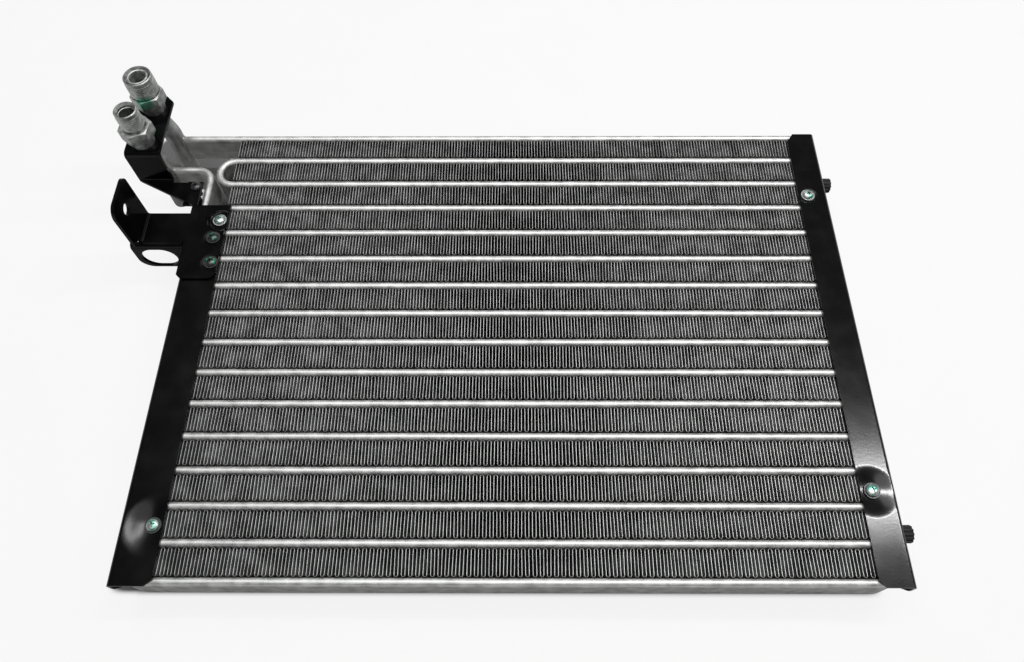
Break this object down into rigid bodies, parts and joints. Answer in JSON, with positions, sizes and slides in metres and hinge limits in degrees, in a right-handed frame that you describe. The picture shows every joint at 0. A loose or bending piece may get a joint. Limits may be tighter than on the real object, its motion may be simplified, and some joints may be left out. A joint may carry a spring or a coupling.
{
  "type": "serpentine air conditioning condenser",
  "caption": "Serpentine air conditioning condenser: a flat tube folded between corrugated fins, with side channels, upright port fittings and a mounting bracket.",
  "frame": {"origin": "under the middle of the condenser's outer box, at the height of the headers' lower ends", "axes": "+X along the tube's passes from the ports to the locating pins, +Y from the last pass towards the inlet pass, +Z out of the airflow face that the port fittings stand on"},
  "size_m": [0.4896, 0.3292, 0.0955],
  "materials": {
    "tube": "satin",
    "fin": "satin",
    "channel_paint": "semi-gloss",
    "bracket_paint": "semi-gloss",
    "header": "satin",
    "fitting": "satin",
    "zinc": "satin",
    "bush_rubber": "matte"
  },
  "bodies": {
    "root": {"serpentine_tube": "tube", "fin_row_01": "fin", "fin_row_02": "fin", "fin_row_03": "fin", "fin_row_04": "fin", "fin_row_05": "fin", "fin_row_06": "fin", "fin_row_07": "fin", "fin_row_08": "fin", "fin_row_09": "fin", "fin_row_10": "fin", "fin_row_11": "fin", "fin_row_12": "fin", "fin_row_13": "fin", "fin_row_14": "fin", "fin_row_15": "fin", "left_channel": "channel_paint", "right_channel": "channel_paint", "mount_bracket": "bracket_paint", "fitting_bracket": "bracket_paint", "inlet_header": "header", "outlet_header": "header", "inlet_header_cap": "header", "outlet_header_cap": "header", "inlet_fitting": "fitting", "outlet_fitting": "fitting", "channel_screws": "zinc", "channel_washers": "zinc", "clinch_nuts": "zinc", "bracket_washers": "zinc", "bracket_long_screw": "zinc", "bracket_short_screws": "zinc", "foot_screw": "zinc", "back_locating_pin": "zinc", "front_locating_pin": "zinc", "back_pin_bush": "bush_rubber", "front_pin_bush": "bush_rubber"}
  },
  "joints": []
}
